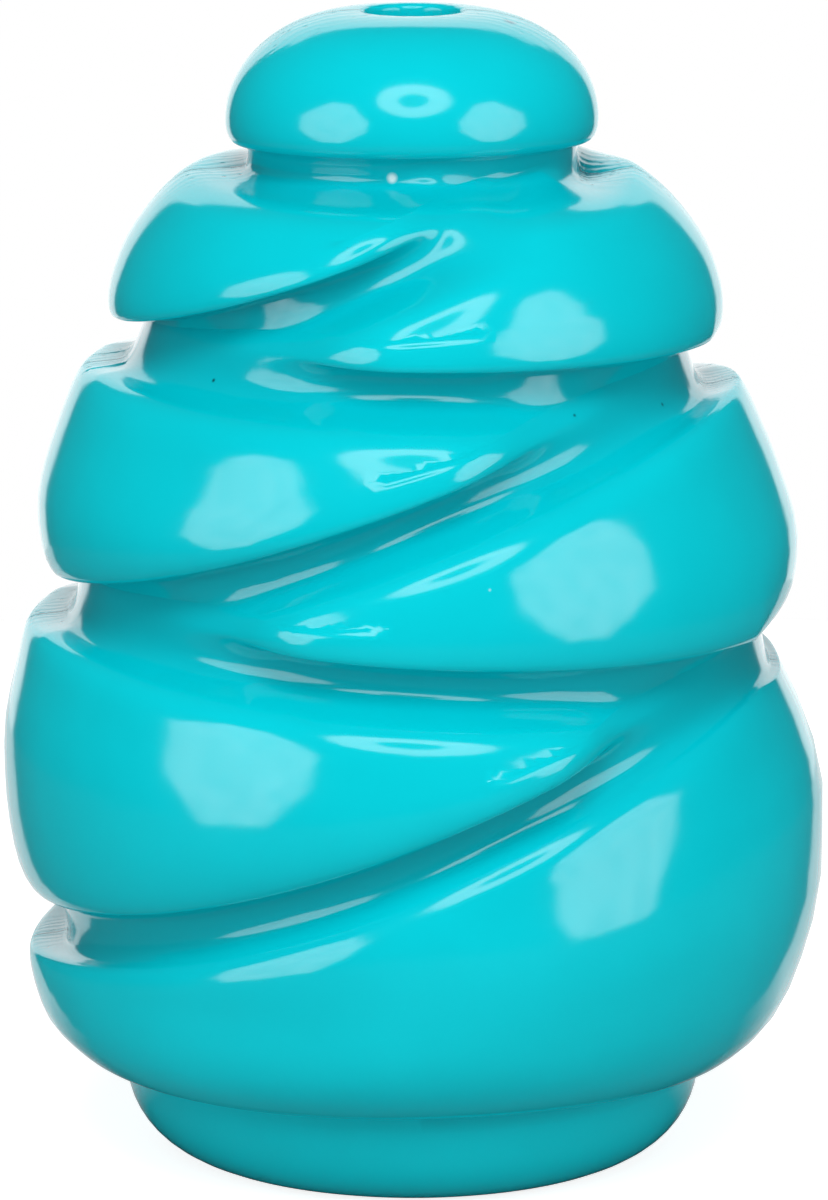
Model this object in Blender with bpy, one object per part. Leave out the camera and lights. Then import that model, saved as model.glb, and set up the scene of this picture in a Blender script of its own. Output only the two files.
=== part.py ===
"""Rubber treat toy for dogs, in metres, standing on Z = 0 with its axis along Z.

The toy is one hollow moulding. Slanting and level grooves meet in turn at its two sides and cut the outside into
wedge-shaped lobes, each with an overhanging lip. The body is lofted round the axis in rows of points: they start
at the vent hole, go down over the dome, lips and grooves to the foot, turn up into the mouth and come back
through the chamber. Bridging the rows, and the last one to the first, closes the body.
"""

import math

import bmesh
import bpy
import numpy as np

# Overall sizes
HEIGHT = 0.0982
BODY_RADIUS = 0.035

# Heights of the lips on the toy's axis, from the neck under the dome to the base above the foot
NECK_LEVEL = 0.0874
TOP_SLANT_LEVEL = 0.0826
TOP_RING_LEVEL = 0.0722
MIDDLE_SLANT_LEVEL = 0.06265
MIDDLE_RING_LEVEL = 0.04955
LOW_SLANT_LEVEL = 0.0369
BASE_LEVEL = 0.0097

# How steeply each lip climbs towards +X, in degrees
NECK_CLIMB = 0.5
TOP_SLANT_CLIMB = 20.5
TOP_RING_CLIMB = -1.1
MIDDLE_SLANT_CLIMB = 19.6
MIDDLE_RING_CLIMB = -3.2
LOW_SLANT_CLIMB = 21.2
BASE_CLIMB = 0.6

# How far each lip sags at the front and back, below the plane through its two sides
NECK_SAG = -0.0003
TOP_SLANT_SAG = 0.0009
TOP_RING_SAG = 0.00035
MIDDLE_SLANT_SAG = 0.0013
MIDDLE_RING_SAG = 0.001
LOW_SLANT_SAG = 0.003
BASE_SAG = 0.0

# Dome and vent hole
DOME_RADIUS = 0.01575
NECK_RADIUS = 0.0139
DOME_LIP_HEIGHT = 0.0016
DOME_OVERHANG = 0.0007
VENT_RADIUS = 0.0041
VENT_EDGE = 0.0005
VENT_LENGTH = 0.0075

# Grooves: how deep they go, and how far below its lip a groove reaches
GROOVE_DEPTH = 0.0039
SLOT_HEIGHT = 0.0085
LEDGE_SHARE = 0.53
SIDE_SPREAD_SHARE = 0.5
SIDE_DIP_SHARE = 0.37
MEETING_SHARE = 0.2
LEAST_LOBE = 0.0003

# Shares of SLOT_HEIGHT that each groove reaches down by at its -X side and at its +X side
NECK_SIDE_SHARES = (0.55, 0.52)
TOP_SLANT_SIDE_SHARES = (0.95, 0.66)
TOP_RING_SIDE_SHARES = (0.86, 0.95)
MIDDLE_SLANT_SIDE_SHARES = (1.0, 1.0)
MIDDLE_RING_SIDE_SHARES = (0.95, 0.95)
LOW_SLANT_SIDE_SHARES = (1.15, 1.1)
BASE_SIDE_SHARES = (1.0, 1.0)

# Long shoulders under the slanting grooves at the +X side: shares of the groove's depth, and lengths
TOP_SHOULDER_SHARE = 0.15
TOP_SHOULDER_LENGTH = 0.006
MIDDLE_SHOULDER_SHARE = 0.18
MIDDLE_SHOULDER_LENGTH = 0.007
LOW_SHOULDER_SHARE = 0.85
LOW_SHOULDER_LENGTH = 0.014

# Groove section at the front and at the sides: shares of SLOT_HEIGHT down from the lip, and of the depth
FRONT_SLOT_SHARES = (
    (0.00, 1.00),
    (0.22, 1.00),
    (0.29, 0.98),
    (0.35, 0.92),
    (0.40, 0.82),
    (0.45, 0.68),
    (0.50, 0.52),
    (0.55, 0.37),
    (0.61, 0.25),
    (0.68, 0.16),
    (0.75, 0.095),
    (0.87, 0.03),
    (1.00, 0.00),
)
SIDE_SLOT_SHARES = (
    (0.00, 1.00),
    (0.36, 1.00),
    (0.44, 0.96),
    (0.49, 0.80),
    (0.53, 0.50),
    (0.57, 0.20),
    (0.62, 0.06),
    (0.70, 0.00),
    (1.00, 0.00),
)

# Lips: shares of a lobe's height that its face takes to curve in to its lip, and that it curves in by, and the
# heights of a wedge between which its lip turns into a soft ridge
LIP_HEIGHT_SHARE = 0.28
LIP_OVERHANG_SHARE = 0.08
LIP_STEP_SHARE = 0.6
TIP_HEIGHT_SHARE = 0.45
TIP_START = 0.009
TIP_END = 0.0053

# Foot, mouth and chamber
FOOT_RADIUS = 0.0247
FOOT_EDGE = 0.0074
MOUTH_RADIUS = 0.0125
MOUTH_EDGE = 0.0015
MOUTH_LENGTH = 0.0075
CHAMBER_RADIUS = 0.0215

# Outside without its grooves: shares of the way from the base lip to the neck, and of BODY_RADIUS
OUTLINE_SHARES = (
    (-0.02, 0.83),
    (0.00, 0.86),
    (0.03, 0.91),
    (0.06, 0.937),
    (0.085, 0.952),
    (0.11, 0.963),
    (0.15, 0.983),
    (0.19, 0.996),
    (0.24, 1.00),
    (0.30, 1.005),
    (0.36, 1.000),
    (0.43, 0.975),
    (0.51, 0.945),
    (0.61, 0.915),
    (0.70, 0.85),
    (0.75, 0.81),
    (0.81, 0.765),
    (0.85, 0.737),
    (0.89, 0.70),
    (0.92, 0.655),
    (0.945, 0.605),
    (0.965, 0.55),
    (1.00, 0.43),
)

# How far the tiers lean towards +X: shares of HEIGHT, and of BODY_RADIUS
LEAN_SHARES = (
    (0.22, 0.0),
    (0.32, -0.006),
    (0.38, -0.010),
    (0.46, 0.0),
    (0.55, 0.0),
    (0.60, -0.014),
    (0.65, -0.016),
    (0.71, -0.008),
    (0.80, -0.004),
    (0.86, 0.0),
)

# Chamber: shares of the way from the mouth to the vent hole, and of the step between their radii and its own
CHAMBER_SHARES = (
    (0.10, 0.35),
    (0.20, 0.82),
    (0.32, 1.00),
    (0.48, 0.98),
    (0.62, 0.86),
    (0.75, 0.66),
    (0.86, 0.40),
    (0.95, 0.14),
)

# Mesh: sections round the axis, and rows of points on each kind of stretch
SECTIONS = 64
DOME_ROWS = 7
FOOT_ROWS = 6
EDGE_ROWS = 2
SLOT_ROW_SHARES = (0.0, 0.24, 0.37, 0.45, 0.51, 0.57, 0.67, 0.85)
FACE_ROW_SHARES = (0.5, 1.0)
LIP_ROW_ANGLES = (35, 65, 90)

PLANES = (
    (NECK_LEVEL, NECK_CLIMB, NECK_SAG),
    (TOP_SLANT_LEVEL, TOP_SLANT_CLIMB, TOP_SLANT_SAG),
    (TOP_RING_LEVEL, TOP_RING_CLIMB, TOP_RING_SAG),
    (MIDDLE_SLANT_LEVEL, MIDDLE_SLANT_CLIMB, MIDDLE_SLANT_SAG),
    (MIDDLE_RING_LEVEL, MIDDLE_RING_CLIMB, MIDDLE_RING_SAG),
    (LOW_SLANT_LEVEL, LOW_SLANT_CLIMB, LOW_SLANT_SAG),
    (BASE_LEVEL, BASE_CLIMB, BASE_SAG),
)
SLOTS = (
    (NECK_SIDE_SHARES, 0, SLOT_HEIGHT),
    (TOP_SLANT_SIDE_SHARES, TOP_SHOULDER_SHARE, TOP_SHOULDER_LENGTH),
    (TOP_RING_SIDE_SHARES, 0, SLOT_HEIGHT),
    (MIDDLE_SLANT_SIDE_SHARES, MIDDLE_SHOULDER_SHARE, MIDDLE_SHOULDER_LENGTH),
    (MIDDLE_RING_SIDE_SHARES, 0, SLOT_HEIGHT),
    (LOW_SLANT_SIDE_SHARES, LOW_SHOULDER_SHARE, LOW_SHOULDER_LENGTH),
    (BASE_SIDE_SHARES, 0, SLOT_HEIGHT),
)


def smooth_curve(stations, x):
    """The heights at x of a smooth curve through the stations, held level past its ends."""
    xs, ys = np.array(stations).T
    slopes = np.gradient(ys, xs)
    x = np.clip(x, xs[0], xs[-1])
    i = np.clip(np.searchsorted(xs, x, side="right") - 1, 0, len(xs) - 2)
    step = xs[i + 1] - xs[i]
    t = (x - xs[i]) / step
    rise = ys[i + 1] - ys[i]
    start_bend = slopes[i] * step - rise
    end_bend = rise - slopes[i + 1] * step
    return ys[i] + t * rise + t * (1 - t) * ((1 - t) * start_bend + t * end_bend)


def ease(share):
    """A smooth step from 0 to 1."""
    share = np.clip(share, 0, 1)
    return share * share * (3 - 2 * share)


def outline_radius(height):
    """Radius of the body at a height, as if it had no grooves."""
    share = (height - BASE_LEVEL) / (NECK_LEVEL - BASE_LEVEL)
    return BODY_RADIUS * smooth_curve(OUTLINE_SHARES, share)


def front_to_side(front, side, angles):
    """A size that changes smoothly from its value at the front and back to its value at the two sides."""
    return front + (side - front) * np.exp(-((np.sin(angles) / SIDE_SPREAD_SHARE) ** 2))


def groove_at(plane, slot, angles):
    """A groove's lip height, slot height, nearness to the sides, and long shoulder's share and length."""
    level, climb, sag = plane
    side_shares, shoulder, length = slot
    slope = math.tan(math.radians(climb)) * np.cos(angles)
    start = level - sag * np.sin(angles) ** 2
    lip = start
    for _ in range(4):
        lip = start + slope * outline_radius(lip)
    right = ease(0.5 + np.cos(angles))
    side_share = side_shares[0] + (side_shares[1] - side_shares[0]) * right
    height = SLOT_HEIGHT * front_to_side(1, side_share, angles)
    nearness = front_to_side(0, 1, angles)
    return np.array([lip, height, nearness, shoulder * nearness * right, np.full_like(angles, length)])


def sorted_grooves(angles):
    """The grooves at every angle from the neck down, where crossing ones trade places."""
    grooves = np.array([groove_at(plane, slot, angles) for plane, slot in zip(PLANES, SLOTS)])
    order = np.argsort(-grooves[1:-1, 0], axis=0)
    for part in range(grooves.shape[1]):
        grooves[1:-1, part] = np.take_along_axis(grooves[1:-1, part], order, axis=0)
    return grooves


def sunk_share(drop, height, nearness, shoulder, length):
    """How far a groove sinks the surface at a drop below its lip: 1 at its wall, 0 on the face below."""
    front = smooth_curve(FRONT_SLOT_SHARES, drop / height)
    side = smooth_curve(SIDE_SLOT_SHARES, drop / height)
    step = front + (side - front) * nearness
    fade = shoulder * np.clip(1 - (drop - LEDGE_SHARE * height) / length, 0, 1) ** 1.5
    return step + (1 - step) * fade


def smooth_most(first, second):
    """The larger of two lengths, rounded where they meet."""
    most = np.maximum(first, second)
    apart = np.abs(first - second) / (MEETING_SHARE * np.maximum(most, LEAST_LOBE))
    return most * (1 + np.maximum(1 - apart, 0) ** 3 * MEETING_SHARE / 6)


def body_radius(above, height):
    """Radius of the outside at a height, sunk by the grooves above it, which blend where they meet."""
    outline = outline_radius(height)
    to_neck = np.maximum(outline - NECK_RADIUS, 0)
    sunk = np.zeros_like(outline)
    for i, (lip, *section) in enumerate(above):
        depth = to_neck if i == 0 else np.minimum(GROOVE_DEPTH, to_neck)
        sunk = smooth_most(sunk, depth * sunk_share(lip - height, *section))
    return outline - sunk


def lip_heights(grooves):
    """The lips' heights, each kept a little under the one above."""
    lips = grooves[:, 0].copy()
    for i in range(1, len(lips)):
        lips[i] = np.minimum(lips[i], lips[i - 1] - LEAST_LOBE)
    return lips


def placed(radius, height, angles):
    """A row that dips towards the axis on the +X side, as the slanting grooves do there."""
    dip = SIDE_DIP_SHARE * np.maximum(np.cos(angles), 0) ** 2
    return radius, height + dip * (radius - outline_radius(height))


def dome_rows(neck_lip):
    """Down the dome, from the vent hole's edge to the lip over the neck."""
    start = VENT_RADIUS + VENT_EDGE
    shoulder_height = neck_lip + DOME_LIP_HEIGHT
    rows = []
    for turn in np.radians(90) * np.arange(DOME_ROWS + 1) / DOME_ROWS:
        radius = start + (DOME_RADIUS - start) * math.sin(turn)
        rows.append((radius, shoulder_height + (HEIGHT - shoulder_height) * math.cos(turn)))
    for turn in np.radians(LIP_ROW_ANGLES):
        radius = DOME_RADIUS - DOME_OVERHANG * (1 - math.cos(turn))
        rows.append((radius, shoulder_height - DOME_LIP_HEIGHT * math.sin(turn)))
    return rows


def lobe_rows(grooves, lips, index, angles):
    """From a groove's root down over its shoulder and the lobe's face to the lip at the lobe's bottom."""
    above = grooves[:index]
    lip, slot, *_ = above[-1]
    upper = lips[index - 1]
    lower = lips[index]
    span = upper - lower
    tip = ease((TIP_START - span) / (TIP_START - TIP_END))
    lip_height = span * (LIP_HEIGHT_SHARE + (TIP_HEIGHT_SHARE - LIP_HEIGHT_SHARE) * tip)
    lip_start = lower + lip_height
    heights = [upper + (lip - upper) * (1 - share) - slot * share for share in SLOT_ROW_SHARES]
    face_start = np.clip(heights[-1], lip_start, upper)
    heights += [face_start + (lip_start - face_start) * share for share in FACE_ROW_SHARES]
    rows = []
    for height in heights:
        height = np.clip(height, lip_start, upper)
        rows.append(placed(body_radius(above, height), height, angles))
    root = body_radius(grooves[: index + 1], lower)
    if index == len(lips) - 1:
        root = np.full_like(angles, FOOT_RADIUS)
    step = np.maximum(body_radius(above, lower) - root, 0)
    overhang = np.minimum(LIP_OVERHANG_SHARE * span, LIP_STEP_SHARE * step)
    overhang += (step - overhang) * tip
    for turn in np.radians(LIP_ROW_ANGLES):
        height = lower + lip_height * (1 - math.sin(turn))
        rows.append(placed(body_radius(above, height) - overhang * (1 - math.cos(turn)), height, angles))
    return rows


def foot_rows(base_lip):
    """Down the foot's wall and round its edge to the flat rim."""
    rows = [(FOOT_RADIUS, base_lip)]
    edge = np.minimum(FOOT_EDGE, base_lip - LEAST_LOBE)
    for turn in np.radians(90) * np.arange(FOOT_ROWS + 1) / FOOT_ROWS:
        rows.append((FOOT_RADIUS - FOOT_EDGE * (1 - math.cos(turn)), edge * (1 - math.sin(turn))))
    return rows


def inner_rows():
    """From the foot's rim up the mouth, through the chamber and up the vent hole to its edge."""
    turns = np.radians(90) * np.arange(EDGE_ROWS + 1) / EDGE_ROWS
    rows = []
    for turn in turns:
        rows.append((MOUTH_RADIUS + MOUTH_EDGE * (1 - math.sin(turn)), MOUTH_EDGE * (1 - math.cos(turn))))
    rows.append((MOUTH_RADIUS, MOUTH_LENGTH))
    chamber_top = HEIGHT - VENT_LENGTH
    for rise, swell in CHAMBER_SHARES:
        throat = MOUTH_RADIUS + (VENT_RADIUS - MOUTH_RADIUS) * rise
        height = MOUTH_LENGTH + (chamber_top - MOUTH_LENGTH) * rise
        rows.append((throat + (CHAMBER_RADIUS - throat) * swell, height))
    rows.append((VENT_RADIUS, chamber_top))
    for turn in turns[:-1]:
        rows.append((VENT_RADIUS + VENT_EDGE * (1 - math.cos(turn)), HEIGHT - VENT_EDGE * (1 - math.sin(turn))))
    return rows


def body_rows(angles):
    """Every row of the closed loop, as (radius, height) pairs over all the angles."""
    grooves = sorted_grooves(angles)
    lips = lip_heights(grooves)
    rows = dome_rows(lips[0])
    for index in range(1, len(lips)):
        rows += lobe_rows(grooves, lips, index, angles)
    rows += foot_rows(lips[-1])
    return rows + inner_rows()


def loft_body(bm):
    """Bridges the rows all the way down the outside and back through the inside."""
    angles = np.radians(360) * np.arange(SECTIONS) / SECTIONS
    loops = []
    for radius, height in body_rows(angles):
        radius = np.broadcast_to(radius, angles.shape)
        height = np.broadcast_to(height, angles.shape)
        lean = BODY_RADIUS * smooth_curve(LEAN_SHARES, height / HEIGHT)
        places = zip(radius * np.cos(angles) + lean, radius * np.sin(angles), height)
        loops.append([bm.verts.new(place) for place in places])
    for row, loop in enumerate(loops):
        below = loops[(row + 1) % len(loops)]
        for i in range(SECTIONS):
            j = (i + 1) % SECTIONS
            bm.faces.new((loop[i], below[i], below[j], loop[j]))
    bmesh.ops.recalc_face_normals(bm, faces=bm.faces)


def rubber_material():
    """Glossy turquoise rubber, coloured all through."""
    material = bpy.data.materials.new("turquoise_rubber")
    material.use_nodes = True
    shader = material.node_tree.nodes["Principled BSDF"]
    shader.inputs["Base Color"].default_value = (0.0, 0.52, 0.56, 1.0)
    shader.inputs["Roughness"].default_value = 0.25
    shader.inputs["Metallic"].default_value = 0.0
    return material


def make_body():
    """The rubber body as one smooth-shaded object."""
    bm = bmesh.new()
    loft_body(bm)
    mesh = bpy.data.meshes.new("rubber_body")
    bm.to_mesh(mesh)
    bm.free()
    mesh.materials.append(rubber_material())
    mesh.shade_smooth()
    body = bpy.data.objects.new("rubber_body", mesh)
    bpy.context.scene.collection.objects.link(body)
    return body


def clear_scene():
    """Removes what the new file holds."""
    for old in list(bpy.data.objects):
        bpy.data.objects.remove(old, do_unlink=True)


def main():
    clear_scene()
    make_body()


main()
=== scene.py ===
"""Looks of the rubber treat toy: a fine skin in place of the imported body, its glossy rubber and the studio.

Everything is in metres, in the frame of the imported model: Z up, the toy's axis on Z, its rim on Z = 0, and
the photographed side towards -Y. The left is at -X and the right at +X, where the mould's two halves met.
Named angles are in degrees, and the turns that functions work with are in radians.
"""

import math
from typing import NamedTuple

import bpy
import numpy as np
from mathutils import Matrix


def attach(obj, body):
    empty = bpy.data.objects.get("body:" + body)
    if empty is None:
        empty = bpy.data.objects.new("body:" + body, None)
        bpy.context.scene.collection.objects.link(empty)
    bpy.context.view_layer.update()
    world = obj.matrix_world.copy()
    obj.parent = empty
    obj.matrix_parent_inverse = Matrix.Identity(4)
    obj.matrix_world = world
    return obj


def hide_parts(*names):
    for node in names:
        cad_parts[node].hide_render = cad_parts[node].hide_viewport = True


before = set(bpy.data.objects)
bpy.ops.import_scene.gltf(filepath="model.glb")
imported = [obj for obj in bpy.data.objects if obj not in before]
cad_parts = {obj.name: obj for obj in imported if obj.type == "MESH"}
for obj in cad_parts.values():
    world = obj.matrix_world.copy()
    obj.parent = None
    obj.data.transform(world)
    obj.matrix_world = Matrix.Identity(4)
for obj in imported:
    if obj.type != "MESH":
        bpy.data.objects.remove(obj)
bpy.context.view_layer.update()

MM = 0.001

# Camera that took the photograph
PHOTO_HEIGHT = 1200  # pixels, along the longer side
CAMERA_DISTANCE = 596.6 * MM
CAMERA_ELEVATION = 11.83
CAMERA_AIM_X = -0.28 * MM
CAMERA_AIM_Z = 47.6 * MM
PIXELS_PER_MM_AT_AIM = 11.714
SENSOR = 36.0  # along the longer side, in the camera's own millimetres
NEAR_CLIP = 0.01
FAR_CLIP = 100.0

# Overall sizes
HEIGHT = 98.2 * MM
BODY_RADIUS = 34.9 * MM

# Dome, neck and vent hole
DOME_RADIUS = 15.75 * MM
DOME_LIP_HEIGHT = 1.6 * MM
DOME_OVERHANG = 0.7 * MM
NECK_RADIUS = 13.9 * MM
VENT_RADIUS = 4.1 * MM
VENT_EDGE = 0.5 * MM
VENT_LENGTH = 7.5 * MM


class Groove(NamedTuple):
    """A groove round the body, under an overhanging lip."""

    lip: float  # height of the lip on the axis
    climb: float  # angle at which it climbs to the right
    rise: float = 0.0  # how much higher the lip is at the front and back than at the sides
    left_share: float = 1.0  # of SLOT_HEIGHT, at the left
    right_share: float = 1.0  # of SLOT_HEIGHT, at the right
    right_shoulder_share: float = 0.0  # of its depth, that a long shoulder takes at the right
    shoulder_length: float = 8.0 * MM
    front_shoulder_share: float = 0.0  # of its depth, that a long shoulder takes at the front
    front_share: float = 1.0  # of SLOT_HEIGHT, at the front and back
    back_lift: float = 0.0  # how fast its ledge rises from the sides towards the back


# Grooves from the neck down
NECK = Groove(87.42 * MM, 0.5, 0.28 * MM, 0.55, 0.52, front_share=0.76, back_lift=5.0 * MM)
TOP_SLANT = Groove(82.6 * MM, 20.5, -0.9 * MM, 0.95, 0.66, 0.15, 6.0 * MM)
TOP_RING = Groove(72.2 * MM, -1.1, -0.35 * MM, 0.86, 0.95)
MIDDLE_SLANT = Groove(62.65 * MM, 19.6, -1.3 * MM, 1.0, 1.0, 0.18, 7.0 * MM)
MIDDLE_RING = Groove(49.55 * MM, -3.2, -1.0 * MM, 0.95, 0.95)
LOW_SLANT = Groove(36.9 * MM, 21.2, -3.0 * MM, 1.15, 1.1, 0.85, 14.0 * MM, front_shoulder_share=0.42)
BASE = Groove(9.7 * MM, 0.6)
GROOVES = (NECK, TOP_SLANT, TOP_RING, MIDDLE_SLANT, MIDDLE_RING, LOW_SLANT, BASE)
GROOVE_DEPTH = 3.9 * MM  # or less, because no groove reaches in past the neck
SLOT_HEIGHT = 8.5 * MM

# Section of a groove: shares of its height, down from the lip, and of its depth there
FRONT_SLOT_SHARES = (
    (0.00, 0.74),
    (0.08, 0.85),
    (0.16, 0.94),
    (0.23, 0.99),
    (0.28, 1.00),
    (0.33, 0.98),
    (0.37, 0.93),
    (0.41, 0.83),
    (0.45, 0.69),
    (0.50, 0.51),
    (0.55, 0.34),
    (0.60, 0.20),
    (0.65, 0.115),
    (0.71, 0.055),
    (0.80, 0.015),
    (0.90, 0.00),
    (1.00, 0.00),
)
SIDE_SLOT_SHARES = (
    (0.00, 1.00),
    (0.36, 1.00),
    (0.42, 0.985),
    (0.47, 0.95),
    (0.505, 0.85),
    (0.52, 0.70),
    (0.53, 0.50),
    (0.54, 0.30),
    (0.555, 0.16),
    (0.59, 0.07),
    (0.65, 0.025),
    (0.77, 0.00),
    (1.00, 0.00),
)
LEDGE_SHARE = 0.53  # of a groove's height, where a long shoulder sets in
SHOULDER_POWER = 1.5  # bend with which a long shoulder runs out

# Change of the sections round the body
SIDE_SPREAD = 0.5  # sine of the turn from a side over which its section gives way to the front's
RIGHT_SPREAD = 0.5  # cosine of the turns between which the left's sizes give way to the right's
FRONT_SHOULDER_SLOPE = 3.0  # how fast a long shoulder at the front sets in from the sides
BACK_LIFT_SPREAD = 0.7  # sine of the turn from a side at which a ledge that rises sinks back
MEETING_SHARE = 0.2  # how much the surface is rounded where two grooves meet
SIDE_DIP = 0.37  # slope with which the rows dip towards the axis at the right

# Lobes between the grooves, and their lips
LEAST_LOBE = 0.2 * MM
LIP_HEIGHT_SHARE = 0.28  # of a lobe's height, over which its face curves in to the lip
LIP_OVERHANG_SHARE = 0.08  # of a lobe's height, by which it curves in at most
LIP_STEP_SHARE = 0.6  # of the step in to the wall below, by which it curves in at most
LIP_CROWDING = 1.5  # how much closer together the rows come towards the lip's edge

# Wedges, where two grooves come together and the lobe between them runs out
TIP_START = 9.5 * MM  # heights between which the lip turns into a soft ridge
TIP_END = 3.2 * MM
TIP_HEIGHT_SHARE = 0.45  # of the wedge's height, over which the ridge curves in
WALL_HOLLOW = 0.9 * MM  # hollow of the wall that a wedge sinks back to
WALL_HOLLOW_SPAN = 4.0 * MM  # height of a wedge from which that hollow is whole
SOFT_START = 8.0 * MM  # heights between which the rows soften
SOFT_END = 3.5 * MM
SOFT_SLOT_SHARE = 0.5  # of the height of the groove below, that softens with the wedge
SOFTEN_ROUNDS = 14
SOFTEN_ROW_STEPS = 2

# Wedge under the neck, which stays while the groove below it runs out
NECK_TIP_START = 6.5 * MM  # heights of the wedge between which that groove does so
NECK_TIP_END = 1.6 * MM
NECK_SOFT_SHARE = 0.8  # of the other wedges' softness

# Foot, mouth and chamber
FOOT_RADIUS = 24.7 * MM
FOOT_EDGE = 7.4 * MM
MOUTH_RADIUS = 12.5 * MM
MOUTH_EDGE = 1.5 * MM
MOUTH_LENGTH = 7.5 * MM
CHAMBER_RADIUS = 21.5 * MM

# Outside without its grooves: shares of the way from the base lip to the neck, and of BODY_RADIUS
OUTLINE_SHARES = (
    (-0.02, 0.83),
    (0.00, 0.86),
    (0.03, 0.91),
    (0.06, 0.937),
    (0.085, 0.952),
    (0.11, 0.963),
    (0.15, 0.983),
    (0.19, 0.996),
    (0.24, 1.00),
    (0.30, 1.005),
    (0.36, 1.000),
    (0.43, 0.975),
    (0.51, 0.945),
    (0.61, 0.915),
    (0.70, 0.85),
    (0.75, 0.81),
    (0.81, 0.765),
    (0.85, 0.737),
    (0.89, 0.70),
    (0.92, 0.655),
    (0.945, 0.605),
    (0.965, 0.55),
    (1.00, 0.43),
)

# How far the toy leans to the right: shares of the height, and of BODY_RADIUS
LEAN_SHARES = (
    (0.00, -0.010),
    (0.06, -0.012),
    (0.14, -0.006),
    (0.22, 0.0),
    (0.32, -0.006),
    (0.38, -0.010),
    (0.46, 0.0),
    (0.55, 0.0),
    (0.60, -0.014),
    (0.65, -0.016),
    (0.71, -0.008),
    (0.82, -0.006),
    (0.88, -0.012),
    (1.00, -0.012),
)

# Chamber: shares of the way from the mouth to the vent hole, and of the step from their radii to its own
CHAMBER_SHARES = (
    (0.10, 0.35),
    (0.20, 0.82),
    (0.32, 1.00),
    (0.48, 0.98),
    (0.62, 0.86),
    (0.75, 0.66),
    (0.86, 0.40),
    (0.95, 0.14),
)

# Mesh
SECTIONS = 320
SIDE_CROWDING = 0.32  # how much closer together the sections come at the two sides
DOME_ROWS = 22
FOOT_ROWS = 14
EDGE_ROWS = 5
SLOT_ROW_SHARES = (0.0, 0.12, 0.22, 0.27, 0.31, 0.35, 0.385, 0.42, 0.45, 0.475, 0.495, 0.51,
                   0.52, 0.53, 0.54, 0.55, 0.565, 0.59, 0.62, 0.66, 0.71, 0.78, 0.88, 1.0)
FACE_ROWS = 6
LIP_ROWS = 8
SLOPE_ROUNDS = 4  # rounds in which a climbing groove finds the height of its lip
TINY_LENGTH = 0.01 * MM  # keeps divisions clear of zero
TINY_SHARE = 1e-9
DEEPEST_SHARE = 1.5  # of GROOVE_DEPTH: what lies deeper is the chamber


class Relief(NamedTuple):
    """A relief from noise."""

    scale: float
    detail: float
    height: float


class Mark(NamedTuple):
    """A small spot on the surface."""

    place: tuple
    radius: float
    color: tuple


# Rubber
RUBBER_COLORS = ((0.0, 0.550, 0.630), (0.0, 0.590, 0.675))
ROUGHNESS = (0.07, 0.13)
REFRACTION = 1.58
BLOTCH_SCALE = 60.0  # per metre, as every scale of a texture on the rubber
BLOTCH_DETAIL = 3.0
BLOTCH_EDGES = (0.3, 0.7)
# Painted shade: the colour darkens with depth in the grooves, standing in for the shade under the lips
GROOVE_PAINTED_SHADE_COLOR = (0.0, 0.30, 0.37)
GROOVE_PAINTED_SHADE_SHARE = 0.45  # of that painted shade colour, in the mixture on the deepest walls
ORANGE_PEEL = Relief(160.0, 1.0, 0.06 * MM)
GRAIN = Relief(900.0, 2.0, 0.005 * MM)

# Seam where the mould's halves met, with painted shade along its step
SEAM_WIDTH = 0.22 * MM
SEAM_HEIGHT = 0.06 * MM
SEAM_WANDER = 0.5 * MM
SEAM_WANDER_SCALE = 350.0
# Painted shade of the seam's step, also used as the painted shade in the pits
SEAM_AND_PIT_PAINTED_SHADE_COLOR = (0.0, 0.16, 0.22)
SEAM_PAINTED_SHADE_SHARE = 0.75

# Ledges: the level places beside the seam, which are duller, with pits and flow lines; the pits get painted
# shade
LEDGE_LEVEL = 0.72  # least upward part of a ledge's normal
LEDGE_LEVEL_BLUR = 0.12
LEDGE_REACH = 7.0 * MM
LEDGE_DULLNESS = 0.12
PIT_SCALE = 1100.0
PIT_SIZE = 0.22  # of a cell of the texture
# share of that painted shade colour in the pits
PIT_PAINTED_SHADE_SHARE = 0.6
PATCH_SCALE = 500.0  # of the patches that have pits
PATCH_LEVEL = 0.52
PATCH_BLUR = 0.04
FLOW_SCALE = 260.0
FLOW_DISTORTION = 6.0
FLOW_HEIGHT = 0.03 * MM
FINE_DETAIL = 2.0  # of the noise in the seam, the patches and the flow lines
NOISE_MIDDLE = 0.5

# Marks, as the photograph shows them, from the neck down and on top of the dome
MARK_SHARE = 0.9
MARKS = (
    Mark((-2.09 * MM, -13.90 * MM, 85.99 * MM), 0.35 * MM, (0.70, 0.85, 0.85)),
    Mark((-16.81 * MM, -17.54 * MM, 69.76 * MM), 0.16 * MM, (0.0, 0.02, 0.03)),
    Mark((5.85 * MM, -31.84 * MM, 55.09 * MM), 0.12 * MM, (0.40, 0.75, 0.80)),
    Mark((12.89 * MM, -21.22 * MM, 67.51 * MM), 0.14 * MM, (0.0, 0.08, 0.10)),
    Mark((20.38 * MM, -13.17 * MM, 66.97 * MM), 0.16 * MM, (0.0, 0.10, 0.12)),
    Mark((7.73 * MM, -3.17 * MM, 97.55 * MM), 0.45 * MM, (0.0, 0.22, 0.30)),
)


class Softbox(NamedTuple):
    """An eight-sided softbox as the toy sees it, with its azimuth from the front to the right."""

    azimuth: float
    elevation: float
    half_width: float
    half_height: float
    corner: float  # where its corners are cut: at 2 it keeps them, and at 1 it is a diamond
    radiance: float


class Dish(NamedTuple):
    """A round reflector as the toy sees it, with its middle covered."""

    azimuth: float
    elevation: float
    inner: float
    outer: float
    radiance: float


class Panel(NamedTuple):
    """A bright panel as the toy sees it, which runs down from its top edge."""

    azimuth: float
    elevation: float
    half_width: float
    top: float
    radiance: float


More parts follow.
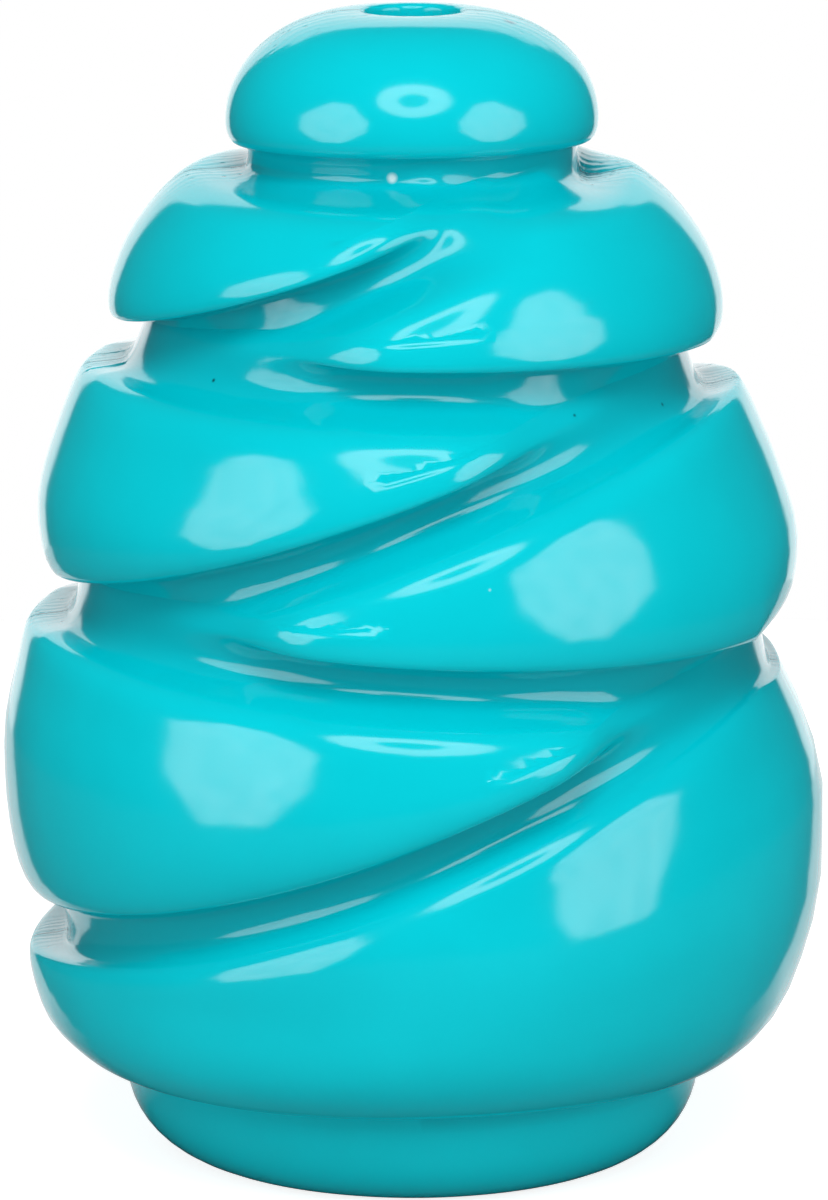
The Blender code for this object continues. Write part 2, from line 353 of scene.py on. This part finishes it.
# Studio that the rubber mirrors
SOFTBOXES = (
    Softbox(-51.0, 10.0, 22.0, 25.0, 1.27, 2.4),
    Softbox(52.0, 10.0, 22.0, 25.0, 1.27, 2.4),
)
SOFTBOX_BLUR = 0.06  # of its half width and half height
CLOUD_SCALE = 9.0  # of the uneven light in the softboxes
CLOUD_DETAIL = 2.0
CLOUD_LEAST = 0.5
DISH = Dish(1.0, 44.0, 8.5, 20.5, 3.0)
DISH_BLUR = 0.02  # radians
REAR_PANEL = Panel(180.0, 0.0, 28.0, 36.0, 1.3)
PANEL_BLUR = 0.03  # of its distance
LEAST_AHEAD = 0.05  # how far directions run at least towards the softbox or panel that they meet
AMBIENT_LIGHT = 0.05
WHITE = (1.0, 1.0, 1.0, 1.0)

# Key lamp, which the rubber does not mirror
KEY_AZIMUTH = 0.0
KEY_ELEVATION = 56.0
KEY_DISTANCE = 1.6
KEY_DIAMETER = 0.9
KEY_RADIANCE = 6.5

# Floor, a round table top
FLOOR_RADIUS = 0.22
FLOOR_CORNERS = 96
FLOOR_ALBEDO = 0.55
FLOOR_MIRROR_ALBEDO = 0.1  # in the rubber's mirror images
FLOOR_WHITE = 0.85  # how bright it glows to the camera, and in mirror images behind the toy
FLOOR_WHITE_FROM = 12.0 * MM  # how far behind the axis the glow in mirror images is half there
FLOOR_WHITE_BESIDE = 45.0 * MM  # how far to each side it reaches there, before it widens with the panel

# Places of two of a groove's sizes among those that groove_at gives
LIP = 0
DEPTH = 1

# Sockets of a Mix node for colours
MIX_INPUTS = (0, 6, 7)
MIX_OUTPUT = 2


def smooth_curve(stations, x):
    """The heights at x of a smooth curve through the stations, held level past its ends."""
    xs, ys = np.array(stations).T
    slopes = np.gradient(ys, xs)
    x = np.clip(x, xs[0], xs[-1])
    i = np.clip(np.searchsorted(xs, x, side="right") - 1, 0, len(xs) - 2)
    step = xs[i + 1] - xs[i]
    t = (x - xs[i]) / step
    rise = ys[i + 1] - ys[i]
    start_bend = slopes[i] * step - rise
    end_bend = rise - slopes[i + 1] * step
    return ys[i] + t * rise + t * (1 - t) * ((1 - t) * start_bend + t * end_bend)


def ease(value, start, end):
    """0 at the start and 1 at the end, which may be the smaller one, with a gentle change between them."""
    share = np.clip((value - start) / (end - start), 0, 1)
    return share * share * (3 - 2 * share)


def held_under(size, limit):
    """A size that is smoothly held under a limit."""
    return limit * size / (limit**4 + size**4 + TINY_LENGTH**4) ** 0.25


def smooth_most(first, second):
    """The larger of two shares, rounded where they meet."""
    most = np.maximum(first, second)
    width = MEETING_SHARE * most + TINY_SHARE
    near = np.maximum(width - np.abs(first - second), 0) / width
    return most + near**3 * width / 6


def tangent(angle):
    """Tangent of an angle in degrees."""
    return math.tan(math.radians(angle))


def outline_radius(height):
    """Radius of the body at a height, as if it had no grooves."""
    share = (height - BASE.lip) / (NECK.lip - BASE.lip)
    return BODY_RADIUS * smooth_curve(OUTLINE_SHARES, share)


def front_to_side(front, side, angles):
    """A size that changes smoothly from its value at the front and back to its value at the two sides."""
    return front + (side - front) * np.exp(-((np.sin(angles) / SIDE_SPREAD) ** 2))


def groove_at(groove, angles):
    """A groove's lip, depth, slot height, nearness to the sides and long shoulder at every angle."""
    lip = np.full_like(angles, groove.lip)
    for _ in range(SLOPE_ROUNDS):
        climb = tangent(groove.climb) * outline_radius(lip) * np.cos(angles)
        lip = groove.lip + climb + groove.rise * np.sin(angles) ** 2
    right = ease(np.cos(angles), -RIGHT_SPREAD, RIGHT_SPREAD)
    side_share = groove.left_share + (groove.right_share - groove.left_share) * right
    slot = SLOT_HEIGHT * front_to_side(groove.front_share, side_share, angles)
    back = np.maximum(np.sin(angles), 0)
    slot -= groove.back_lift * back * np.exp(-((back / BACK_LIFT_SPREAD) ** 4))
    nearness = front_to_side(0.0, 1.0, angles)
    frontness = (1 - nearness) * np.clip(-np.sin(angles) * FRONT_SHOULDER_SLOPE, 0, 1)
    shoulder = groove.right_shoulder_share * nearness * right + groove.front_shoulder_share * frontness
    depth = np.full_like(angles, GROOVE_DEPTH)
    length = np.full_like(angles, groove.shoulder_length)
    return np.array([lip, depth, slot, nearness, shoulder, length])


def sorted_grooves(angles):
    """The grooves from the neck down at every angle, where crossing ones trade places, and their lips."""
    grooves = np.array([groove_at(groove, angles) for groove in GROOVES])
    order = np.argsort(-grooves[1:-1, LIP], axis=0)
    grooves[1:-1] = np.take_along_axis(grooves[1:-1], order[:, np.newaxis], axis=0)
    lips = grooves[:, LIP].copy()
    for i in range(1, len(lips)):
        lips[i] = np.minimum(lips[i], lips[i - 1] - LEAST_LOBE)
    grooves[1, DEPTH] *= 1 - ease(lips[0] - lips[1], NECK_TIP_START, NECK_TIP_END)
    return grooves, lips


def sunk_share(drop, slot, nearness, shoulder, length):
    """How far a groove sinks the surface at a drop below its lip: 1 at its wall, 0 on the face below."""
    share = drop / slot
    front = smooth_curve(FRONT_SLOT_SHARES, share)
    side = smooth_curve(SIDE_SLOT_SHARES, share)
    sunk = front * (1 - nearness) + side * nearness
    fade = shoulder * np.clip(1 - (drop - LEDGE_SHARE * slot) / length, 0, 1) ** SHOULDER_POWER
    return sunk + (1 - sunk) * fade


def sunk_radius(above, height):
    """Radius of the outside at a height below the given grooves, of which the neck is the first."""
    outline = outline_radius(height)
    to_neck = np.maximum(outline - NECK_RADIUS, 0)
    total = np.zeros_like(outline)
    for i, (lip, depth, *section) in enumerate(above):
        depth = to_neck if i == 0 else np.minimum(depth, to_neck)
        total = smooth_most(total, depth / BODY_RADIUS * sunk_share(lip - height, *section))
    return outline - BODY_RADIUS * total


def placed_row(radius, height, angles):
    """A row that dips towards the axis on the right, as the slanting grooves do there."""
    inward = radius - outline_radius(height)
    return radius, height + SIDE_DIP * np.maximum(np.cos(angles), 0) ** 2 * inward


def lip_turns():
    """Turns of the rows round a lip, closer together towards its edge."""
    shares = np.arange(1, LIP_ROWS + 1) / LIP_ROWS
    return math.pi / 2 * (1 - (1 - shares) ** LIP_CROWDING)


def dome_rows(neck_lip):
    """Down the dome, from the vent hole's edge to the lip over the neck."""
    start = VENT_RADIUS + VENT_EDGE
    shoulder_height = neck_lip + DOME_LIP_HEIGHT
    rows = []
    for turn in np.linspace(0, math.pi / 2, DOME_ROWS):
        radius = start + (DOME_RADIUS - start) * math.sin(turn)
        rows.append((radius, shoulder_height + (HEIGHT - shoulder_height) * math.cos(turn)))
    for turn in lip_turns():
        radius = DOME_RADIUS - DOME_OVERHANG * (1 - math.cos(turn))
        rows.append((radius, shoulder_height - DOME_LIP_HEIGHT * math.sin(turn)))
    return rows


def slot_and_face_heights(groove, upper, lip_start):
    """Heights of the rows down a groove's section and the face below it, to where the lip starts."""
    lip, _, slot, *_ = groove
    heights = [upper + (lip - upper) * (1 - share) - slot * share for share in SLOT_ROW_SHARES]
    face_start = np.clip(heights[-1], lip_start, upper)
    for share in np.linspace(0, 1, FACE_ROWS)[1:]:
        heights.append(face_start + (lip_start - face_start) * share)
    return [np.clip(height, lip_start, upper) for height in heights]


def lobe_rows(grooves, lips, index, angles):
    """From a groove's root down over its wall, its shoulder and the lobe's face to the lip below."""
    above = grooves[:index]
    upper = lips[index - 1]
    lower = lips[index]
    span = upper - lower
    tip = ease(span, TIP_START, TIP_END)
    fade = tip if index > 1 else np.zeros_like(tip)
    hollow = WALL_HOLLOW * ease(span, 0, WALL_HOLLOW_SPAN)
    wall = sunk_radius(above, upper)
    if index < len(lips) - 1:
        root = sunk_radius(grooves[: index + 1], lower)
    else:
        root = np.full_like(angles, FOOT_RADIUS)

    def faded(radius, height):
        """A row that sinks back, where the wedge runs out, to a wall between the grooves on both sides."""
        down = (upper - height) / span
        straight = wall + (root - wall) * down - hollow * np.sin(math.pi * down)
        return placed_row(radius + (straight - radius) * fade, height, angles)

    lip_height = span * (LIP_HEIGHT_SHARE + (TIP_HEIGHT_SHARE - LIP_HEIGHT_SHARE) * tip)
    lip_start = lower + lip_height
    rows = [faded(sunk_radius(above, z), z) for z in slot_and_face_heights(above[-1], upper, lip_start)]
    step = np.maximum(sunk_radius(above, lower) - root, 0)
    overhang = held_under(LIP_STEP_SHARE * step, LIP_OVERHANG_SHARE * span)
    overhang += (step - overhang) * tip
    for turn in lip_turns():
        down = math.sin(turn) * (1 - tip) + turn / (math.pi / 2) * tip
        inward = (1 - math.cos(turn)) * (1 - tip) + (1 - math.cos(2 * turn)) / 2 * tip
        height = lip_start - lip_height * down
        rows.append(faded(sunk_radius(above, height) - overhang * inward, height))
    edge_radius, edge_height = rows[-1]
    root_radius, root_height = placed_row(root, lower, angles)
    rows.append(((edge_radius + root_radius) / 2, (edge_height + root_height) / 2))
    return rows


def foot_rows(base_lip):
    """Down the foot's wall and round its edge to the flat rim."""
    rows = [(FOOT_RADIUS, base_lip)]
    edge = np.minimum(FOOT_EDGE, base_lip - LEAST_LOBE)
    for turn in np.linspace(0, math.pi / 2, FOOT_ROWS):
        rows.append((FOOT_RADIUS - FOOT_EDGE * (1 - math.cos(turn)), edge * (1 - math.sin(turn))))
    return rows


def inner_rows():
    """From the foot's rim up the mouth, through the chamber and up the vent hole to its edge."""
    edge_turns = np.linspace(0, math.pi / 2, EDGE_ROWS)
    rows = []
    for turn in edge_turns:
        rows.append((MOUTH_RADIUS + MOUTH_EDGE * (1 - math.sin(turn)), MOUTH_EDGE * (1 - math.cos(turn))))
    rows.append((MOUTH_RADIUS, MOUTH_LENGTH))
    chamber_top = HEIGHT - VENT_LENGTH
    for rise, swell in CHAMBER_SHARES:
        throat = MOUTH_RADIUS + (VENT_RADIUS - MOUTH_RADIUS) * rise
        height = MOUTH_LENGTH + (chamber_top - MOUTH_LENGTH) * rise
        rows.append((throat + (CHAMBER_RADIUS - throat) * swell, height))
    rows.append((VENT_RADIUS, chamber_top))
    for turn in edge_turns[:-1]:
        radius = VENT_RADIUS + VENT_EDGE * (1 - math.cos(turn))
        rows.append((radius, HEIGHT - VENT_EDGE * (1 - math.sin(turn))))
    return rows


def section_angles():
    """Angles of the sections, evenly round the axis but closer together at the two sides."""
    even = np.arange(SECTIONS) / SECTIONS * 2 * math.pi
    return even - SIDE_CROWDING * np.sin(2 * even)


def lobe_softness(lips, index):
    """How soft a lobe is: 0 where it stands out, 1 where it runs out as a wedge."""
    softness = ease(lips[index - 1] - lips[index], SOFT_START, SOFT_END)
    return softness * NECK_SOFT_SHARE if index == 1 else softness


def soften(field, weights):
    """Even out the rows in place where the wedges run out, as far as the weights say."""
    for _ in range(SOFTEN_ROUNDS):
        for _ in range(SOFTEN_ROW_STEPS):
            middle = (field[:-2] + field[2:]) / 2
            field[1:-1] += weights[1:-1] / 2 * (middle - field[1:-1])
        beside = (np.roll(field, 1, axis=1) + np.roll(field, -1, axis=1)) / 2
        field += weights / 2 * (beside - field)


def skin_rows(angles):
    """Radius and height of every row of points at every angle."""
    grooves, lips = sorted_grooves(angles)
    rows = dome_rows(lips[0])
    softness = np.zeros_like(angles)
    weights = [softness] * len(rows)
    for index in range(1, len(lips)):
        softness_above = softness
        softness = lobe_softness(lips, index)
        lobe = lobe_rows(grooves, lips, index, angles)
        rows += lobe
        weights.append(softness_above)
        for share in SLOT_ROW_SHARES[1:]:
            weights.append(np.maximum(softness, softness_above * max(1 - share / SOFT_SLOT_SHARE, 0)))
        weights += [softness] * (len(lobe) - len(SLOT_ROW_SHARES))
    rows += foot_rows(lips[-1]) + inner_rows()
    radius, height = (np.array([np.broadcast_to(row[i], angles.shape) for row in rows]) for i in (0, 1))
    weights = np.array(weights)
    for field in (radius, height):
        soften(field[: len(weights)], weights)
    return radius, height


def skin_places(angles, radius, height):
    """The points of the skin in space, with the toy's slight lean."""
    lean = BODY_RADIUS * smooth_curve(LEAN_SHARES, height / HEIGHT)
    return np.stack([radius * np.cos(angles) + lean, radius * np.sin(angles), height], axis=-1)


def groove_depths(radius, height):
    """How deep each point lies in a groove, which sets the painted shade there: 0 on the faces, 1 on the
    deepest walls.
    """
    depth = (outline_radius(height) - radius) / GROOVE_DEPTH
    grooved = (height > BASE.lip) & (height < NECK.lip) & (depth < DEEPEST_SHARE)
    return np.where(grooved, np.clip(depth, 0, 1), 0)


def make_skin():
    """The outside and the inside of the toy as one closed mesh, lofted round the axis."""
    angles = section_angles()
    radius, height = skin_rows(angles)
    places = skin_places(angles, radius, height)
    index = np.arange(radius.size).reshape(radius.shape)
    below = np.roll(index, -1, axis=0)
    beside = np.roll(index, -1, axis=1)
    across = np.roll(below, -1, axis=1)
    faces = np.stack([index, below, across, beside], axis=-1)
    mesh = bpy.data.meshes.new("rubber_skin")
    mesh.from_pydata(places.reshape(-1, 3).tolist(), [], faces.reshape(-1, 4).tolist())
    mesh.shade_smooth()
    # Depth in the grooves, by which the rubber's colour gets painted shade there
    shade = mesh.attributes.new("groove_depth", "FLOAT", "POINT")
    shade.data.foreach_set("value", groove_depths(radius, height).ravel())
    skin = bpy.data.objects.new("rubber_skin", mesh)
    bpy.context.scene.collection.objects.link(skin)
    return skin


class Graph:
    """A shader tree that grows by a node with each call. Values are numbers, tuples or nodes' outputs."""

    def __init__(self, owner):
        owner.use_nodes = True
        self.tree = owner.node_tree

    def feed(self, socket, value):
        """Give an input a fixed value, or link an output to it."""
        if isinstance(value, bpy.types.NodeSocket):
            self.tree.links.new(value, socket)
        else:
            socket.default_value = value

    def add(self, kind, **values):
        """A new node, with its properties and inputs set by name."""
        made = self.tree.nodes.new(kind)
        for name, value in values.items():
            if hasattr(made, name):
                setattr(made, name, value)
            else:
                self.feed(made.inputs[name.replace("_", " ")], value)
        return made

    def math(self, operation, *values):
        """An operation on one value, or on two or more in turn."""
        if len(values) > 2:
            values = (self.math(operation, *values[:-1]), values[-1])
        made = self.add("ShaderNodeMath", operation=operation)
        for socket, value in zip(made.inputs, values):
            self.feed(socket, value)
        return made.outputs[0]

    def vector_math(self, operation, first, second):
        """The number that an operation on two vectors gives."""
        made = self.add("ShaderNodeVectorMath", operation=operation)
        self.feed(made.inputs[0], first)
        self.feed(made.inputs[1], second)
        return made.outputs["Value"]

    def axis(self, vector, name):
        """The part of a vector along X, Y or Z."""
        return self.add("ShaderNodeSeparateXYZ", Vector=vector).outputs[name]

    def map_range(self, value, start, end, low, high):
        """A value that runs from low to high while the given one runs from start to end."""
        ends = {"From_Min": start, "From_Max": end, "To_Min": low, "To_Max": high}
        return self.add("ShaderNodeMapRange", Value=value, **ends).outputs["Result"]

    def below(self, value, edge, blur):
        """1 where the value is below an edge, 0 above it, with a blurred step between."""
        return self.map_range(value, edge - blur, edge + blur, 1.0, 0.0)

    def above(self, value, edge, blur):
        """1 where the value is above an edge, 0 below it, with a blurred step between."""
        return self.map_range(value, edge - blur, edge + blur, 0.0, 1.0)

    def noise(self, place, scale, detail):
        """Smooth noise between 0 and 1."""
        return self.add("ShaderNodeTexNoise", Vector=place, Scale=scale, Detail=detail).outputs["Fac"]

    def mix(self, share, color, other):
        """A colour with a share of another one mixed in."""
        made = self.add("ShaderNodeMix", data_type="RGBA")
        for number, value in zip(MIX_INPUTS, (share, color, (*other, 1.0))):
            self.feed(made.inputs[number], value)
        return made.outputs[MIX_OUTPUT]

    def bump(self, relief, height, normal=None):
        """The surface's normal with a relief added to it, which is given as shares of its height."""
        made = self.add("ShaderNodeBump", Height=relief, Distance=height, Strength=1.0)
        if normal is not None:
            self.feed(made.inputs["Normal"], normal)
        return made.outputs["Normal"]

    def seen_directly(self):
        """1 for the camera's own rays, also through clear things, and 0 for other rays."""
        path = self.add("ShaderNodeLightPath")
        return self.math("MAXIMUM", path.outputs["Is Camera Ray"], path.outputs["Is Transmission Ray"])


def seam_distance(graph, place):
    """Distance from the seam, which wanders a little about the plane between the mould's halves."""
    noise = graph.noise(place, SEAM_WANDER_SCALE, FINE_DETAIL)
    wander = graph.math("MULTIPLY", graph.math("SUBTRACT", noise, NOISE_MIDDLE), SEAM_WANDER)
    return graph.math("ABSOLUTE", graph.math("ADD", graph.axis(place, "Y"), wander))


def ledge_mask(graph, off_seam):
    """1 where the surface faces up beside the seam, 0 elsewhere."""
    normal = graph.add("ShaderNodeNewGeometry").outputs["Normal"]
    level = graph.above(graph.axis(normal, "Z"), LEDGE_LEVEL, LEDGE_LEVEL_BLUR)
    return graph.math("MULTIPLY", level, graph.below(off_seam, LEDGE_REACH / 2, LEDGE_REACH / 2))


def pit_mask(graph, place, ledge):
    """1 in the small pits on the ledges, which come in patches, 0 elsewhere."""
    cells = graph.add("ShaderNodeTexVoronoi", Vector=place, Scale=PIT_SCALE)
    pits = graph.below(cells.outputs["Distance"], PIT_SIZE, PIT_SIZE / 2)
    patches = graph.above(graph.noise(place, PATCH_SCALE, FINE_DETAIL), PATCH_LEVEL, PATCH_BLUR)
    return graph.math("MULTIPLY", pits, patches, ledge)


def flow_lines(graph, place, ledge):
    """Relief of the flow lines on the ledges."""
    streaks = graph.add(
        "ShaderNodeTexWave",
        bands_direction="Y",
        Vector=place,
        Scale=FLOW_SCALE,
        Distortion=FLOW_DISTORTION,
        Detail=FINE_DETAIL,
    )
    return graph.math("MULTIPLY", streaks.outputs["Fac"], ledge)


def rubber_color(graph, place, blotches, seam, pits):
    """Uneven turquoise with painted shade in the grooves, along the seam and in the pits, with the marks on
    it.
    """
    tint = graph.add("ShaderNodeValToRGB", Fac=blotches)
    for element, edge, shade in zip(tint.color_ramp.elements, BLOTCH_EDGES, RUBBER_COLORS):
        element.position = edge
        element.color = (*shade, 1.0)
    groove = graph.add("ShaderNodeAttribute", attribute_name="groove_depth").outputs["Fac"]
    # Painted shade, darker the deeper a point lies in a groove
    color = graph.mix(graph.math("MULTIPLY", groove, GROOVE_PAINTED_SHADE_SHARE), tint.outputs["Color"], GROOVE_PAINTED_SHADE_COLOR)
    # Painted shade along the seam's step and in the pits
    color = graph.mix(graph.math("MULTIPLY", seam, SEAM_PAINTED_SHADE_SHARE), color, SEAM_AND_PIT_PAINTED_SHADE_COLOR)
    color = graph.mix(graph.math("MULTIPLY", pits, PIT_PAINTED_SHADE_SHARE), color, SEAM_AND_PIT_PAINTED_SHADE_COLOR)
    for mark in MARKS:
        distance = graph.vector_math("DISTANCE", place, mark.place)
        spot = graph.below(distance, mark.radius, mark.radius / 2)
        color = graph.mix(graph.math("MULTIPLY", spot, MARK_SHARE), color, mark.color)
    return color


def rubber_material():
    """Glossy turquoise rubber with a faint orange peel, painted shade in its grooves, and the seam with pits
    and flow lines along it.
    """
    material = bpy.data.materials.new("glossy_turquoise_rubber")
    graph = Graph(material)
    place = graph.add("ShaderNodeTexCoord").outputs["Object"]
    blotches = graph.noise(place, BLOTCH_SCALE, BLOTCH_DETAIL)
    off_seam = seam_distance(graph, place)
    seam = graph.below(off_seam, SEAM_WIDTH / 2, SEAM_WIDTH / 4)
    ledge = ledge_mask(graph, off_seam)
    pits = pit_mask(graph, place, ledge)
    color = rubber_color(graph, place, blotches, seam, pits)
    gloss = graph.map_range(blotches, 0.0, 1.0, *ROUGHNESS)
    roughness = graph.math("ADD", gloss, graph.math("MULTIPLY", ledge, LEDGE_DULLNESS))
    normal = None
    for relief in (ORANGE_PEEL, GRAIN):
        normal = graph.bump(graph.noise(place, relief.scale, relief.detail), relief.height, normal)
    normal = graph.bump(flow_lines(graph, place, ledge), FLOW_HEIGHT, normal)
    normal = graph.bump(graph.math("SUBTRACT", seam, pits), SEAM_HEIGHT, normal)
    shader = graph.tree.nodes["Principled BSDF"]
    graph.feed(shader.inputs["Base Color"], color)
    graph.feed(shader.inputs["Roughness"], roughness)
    graph.feed(shader.inputs["Normal"], normal)
    graph.feed(shader.inputs["IOR"], REFRACTION)
    return material


def floor_material():
    """Pale paint that is white to the camera, and in the toy's mirror images only behind the toy."""
    material = bpy.data.materials.new("pale_floor")
    graph = Graph(material)
    graph.tree.nodes.remove(graph.tree.nodes["Principled BSDF"])
    place = graph.add("ShaderNodeTexCoord").outputs["Object"]
    mirrored = graph.add("ShaderNodeLightPath").outputs["Is Glossy Ray"]
    dimmer = graph.math("MULTIPLY", mirrored, FLOOR_ALBEDO - FLOOR_MIRROR_ALBEDO)
    paint = graph.add("ShaderNodeBsdfDiffuse", Color=graph.math("SUBTRACT", FLOOR_ALBEDO, dimmer))
    back = graph.axis(place, "Y")
    widening = graph.math("MULTIPLY", back, tangent(REAR_PANEL.half_width))
    reach = graph.math("ADD", widening, FLOOR_WHITE_BESIDE)
    beside = graph.math("LESS_THAN", graph.math("ABSOLUTE", graph.axis(place, "X")), reach)
    behind = graph.above(back, FLOOR_WHITE_FROM, FLOOR_WHITE_FROM)
    seen = graph.math("MAXIMUM", graph.math("MULTIPLY", mirrored, behind, beside), graph.seen_directly())
    glow = graph.math("MULTIPLY", seen, FLOOR_WHITE)
    white = graph.add("ShaderNodeEmission", Color=WHITE, Strength=glow)
    both = graph.add("ShaderNodeAddShader")
    graph.feed(both.inputs[0], paint.outputs[0])
    graph.feed(both.inputs[1], white.outputs[0])
    graph.feed(graph.tree.nodes["Material Output"].inputs["Surface"], both.outputs[0])
    return material


def make_floor():
    """A plain pale floor, which keeps the toy's shadow."""
    turns = np.arange(FLOOR_CORNERS) / FLOOR_CORNERS * 2 * math.pi
    corners = [(FLOOR_RADIUS * math.cos(turn), FLOOR_RADIUS * math.sin(turn), 0.0) for turn in turns]
    mesh = bpy.data.meshes.new("floor")
    mesh.from_pydata(corners, [], [range(FLOOR_CORNERS)])
    mesh.materials.append(floor_material())
    floor = bpy.data.objects.new("floor", mesh)
    bpy.context.scene.collection.objects.link(floor)


def aimed(azimuth, elevation):
    """Directions from the toy out to a lamp, and across and up the lamp's face."""
    turn = math.radians(azimuth)
    tilt = math.radians(elevation)
    out = (math.sin(turn) * math.cos(tilt), -math.cos(turn) * math.cos(tilt), math.sin(tilt))
    across = (math.cos(turn), math.sin(turn), 0.0)
    up = (-math.sin(turn) * math.sin(tilt), math.cos(turn) * math.sin(tilt), math.cos(tilt))
    return out, across, up


def on_screen(graph, direction, azimuth, elevation):
    """How far beside and above a screen's middle a direction meets it, and whether it runs towards it."""
    axes = aimed(azimuth, elevation)
    ahead, across, up = (graph.vector_math("DOT_PRODUCT", direction, axis) for axis in axes)
    depth = graph.math("MAXIMUM", ahead, LEAST_AHEAD)
    beside = graph.math("ABSOLUTE", graph.math("DIVIDE", across, depth))
    return beside, graph.math("DIVIDE", up, depth), graph.math("GREATER_THAN", ahead, LEAST_AHEAD)


def softbox_light(graph, direction, box, clouds):
    """Light of a softbox in a direction, uneven as the clouds say."""
    beside, height, towards = on_screen(graph, direction, box.azimuth, box.elevation)
    wide = graph.math("DIVIDE", beside, tangent(box.half_width))
    high = graph.math("DIVIDE", graph.math("ABSOLUTE", height), tangent(box.half_height))
    corner = graph.math("DIVIDE", graph.math("ADD", wide, high), box.corner)
    inside = graph.below(graph.math("MAXIMUM", wide, high, corner), 1.0, SOFTBOX_BLUR)
    return graph.math("MULTIPLY", inside, towards, clouds, box.radiance)


def dish_light(graph, direction, dish):
    """Light of a round dish in a direction."""
    out, _, _ = aimed(dish.azimuth, dish.elevation)
    angle = graph.math("ARCCOSINE", graph.vector_math("DOT_PRODUCT", direction, out))
    rim = graph.below(angle, math.radians(dish.outer), DISH_BLUR)
    middle = graph.below(angle, math.radians(dish.inner), DISH_BLUR)
    ring = graph.math("MAXIMUM", graph.math("SUBTRACT", rim, middle), 0.0)
    return graph.math("MULTIPLY", ring, dish.radiance)


def panel_light(graph, direction, panel):
    """Light of a panel in a direction."""
    beside, height, towards = on_screen(graph, direction, panel.azimuth, panel.elevation)
    wide = graph.below(beside, tangent(panel.half_width), PANEL_BLUR)
    high = graph.below(height, tangent(panel.top), PANEL_BLUR)
    return graph.math("MULTIPLY", wide, high, towards, panel.radiance)


def make_world():
    """The studio's lights and dim surroundings, and the white background that the camera sees instead."""
    world = bpy.data.worlds.new("studio")
    bpy.context.scene.world = world
    graph = Graph(world)
    graph.tree.nodes.clear()
    direction = graph.add("ShaderNodeTexCoord").outputs["Generated"]
    clouds = graph.math("ADD", graph.noise(direction, CLOUD_SCALE, CLOUD_DETAIL), CLOUD_LEAST)
    lights = [softbox_light(graph, direction, box, clouds) for box in SOFTBOXES]
    lights.append(dish_light(graph, direction, DISH))
    lights.append(panel_light(graph, direction, REAR_PANEL))
    level = graph.math("ADD", AMBIENT_LIGHT, *lights)
    studio = graph.add("ShaderNodeBackground", Color=WHITE, Strength=level)
    plain = graph.add("ShaderNodeBackground", Color=WHITE, Strength=1.0)
    seen = graph.add("ShaderNodeMixShader", Fac=graph.seen_directly())
    graph.feed(seen.inputs[1], studio.outputs[0])
    graph.feed(seen.inputs[2], plain.outputs[0])
    graph.add("ShaderNodeOutputWorld", Surface=seen.outputs[0])


def make_key_lamp():
    """A large soft lamp high in front, which shades the grooves and leaves no mirror image of its own."""
    lamp = bpy.data.lights.new("key_lamp", "AREA")
    lamp.shape = "DISK"
    lamp.size = KEY_DIAMETER
    lamp.energy = KEY_RADIANCE * math.pi**2 * KEY_DIAMETER**2 / 4
    holder = bpy.data.objects.new("key_lamp", lamp)
    out, _, _ = aimed(KEY_AZIMUTH, KEY_ELEVATION)
    holder.location = [KEY_DISTANCE * part for part in out]
    holder.rotation_euler = (math.radians(90 - KEY_ELEVATION), 0.0, math.radians(KEY_AZIMUTH))
    holder.visible_camera = False
    holder.visible_glossy = False
    bpy.context.scene.collection.objects.link(holder)


def make_camera():
    """The photograph's camera."""
    camera = bpy.data.cameras.new("camera")
    camera.sensor_width = SENSOR
    camera.lens = SENSOR * PIXELS_PER_MM_AT_AIM * CAMERA_DISTANCE / MM / PHOTO_HEIGHT
    camera.clip_start = NEAR_CLIP
    camera.clip_end = FAR_CLIP
    holder = bpy.data.objects.new("camera", camera)
    tilt = math.radians(CAMERA_ELEVATION)
    holder.location = (
        CAMERA_AIM_X,
        -CAMERA_DISTANCE * math.cos(tilt),
        CAMERA_AIM_Z + CAMERA_DISTANCE * math.sin(tilt),
    )
    holder.rotation_euler = (math.pi / 2 - tilt, 0.0, 0.0)
    bpy.context.scene.collection.objects.link(holder)
    bpy.context.scene.camera = holder


def main():
    """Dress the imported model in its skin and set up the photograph's studio and camera."""
    bpy.context.scene.view_settings.view_transform = "Standard"
    make_camera()
    skin = make_skin()
    skin.data.materials.append(rubber_material())
    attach(skin, "root")
    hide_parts("rubber_body")
    make_floor()
    make_world()
    make_key_lamp()


main()
